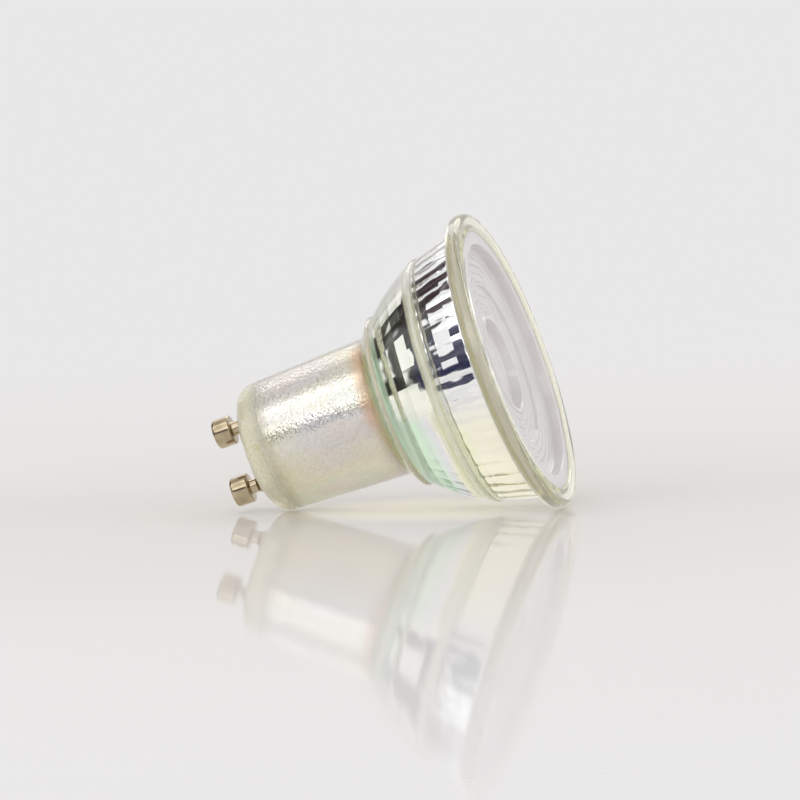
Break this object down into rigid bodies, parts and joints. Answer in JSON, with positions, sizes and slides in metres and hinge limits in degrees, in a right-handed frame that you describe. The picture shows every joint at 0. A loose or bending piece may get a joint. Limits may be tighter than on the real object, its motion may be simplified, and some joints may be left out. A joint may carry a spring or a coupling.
{
  "type": "spotlight bulb",
  "caption": "Clear glass reflector spotlight bulb with a fluted bowl, ringed front lens, narrow neck and twist-lock contact pins.",
  "frame": {"origin": "centre of the rim's front plane, which the bulb stands on", "axes": "+Z along the bulb's axis from the lens to the contact pins, +X along the line through the pins"},
  "size_m": [0.05, 0.05, 0.0518],
  "materials": {
    "clear_glass": "pressed clear glass with a thin milky iridescent film inside",
    "clear_lens": "clear moulded acrylic",
    "silicone": "translucent silicone",
    "bare_aluminium": "plain sheet",
    "white_ceramic": "white ceramic",
    "phosphor": "yellow phosphor in silicone",
    "board": "green solder mask",
    "can_sleeve": "dark shrink sleeve",
    "ferrite": "dark ferrite",
    "copper": "enamelled copper wire",
    "resistor_coat": "flameproof coat",
    "black_package": "moulded package",
    "resistor_black": "chip resistor",
    "capacitor_tan": "ceramic chip capacitor",
    "tinned_wire": "tinned wire",
    "nickel": "polished nickel over brass"
  },
  "bodies": {
    "root": {"glass_body": "clear_glass", "front_lens": "clear_lens", "lens_adhesive": "silicone", "led_plate": "bare_aluminium", "led_base": "white_ceramic", "led_phosphor": "phosphor", "driver_board": "board", "input_capacitor": "can_sleeve", "inductor_core": "ferrite", "inductor_winding": "copper", "fuse_resistor": "resistor_coat", "bridge_rectifier": "black_package", "driver_chip": "black_package", "output_diode": "black_package", "sense_resistor_a": "resistor_black", "sense_resistor_b": "resistor_black", "output_capacitor": "capacitor_tan", "link_pin_a": "tinned_wire", "link_pin_b": "tinned_wire", "pin_wire_a": "tinned_wire", "pin_wire_b": "tinned_wire", "contact_pin_a": "nickel", "contact_pin_b": "nickel"}
  },
  "joints": []
}
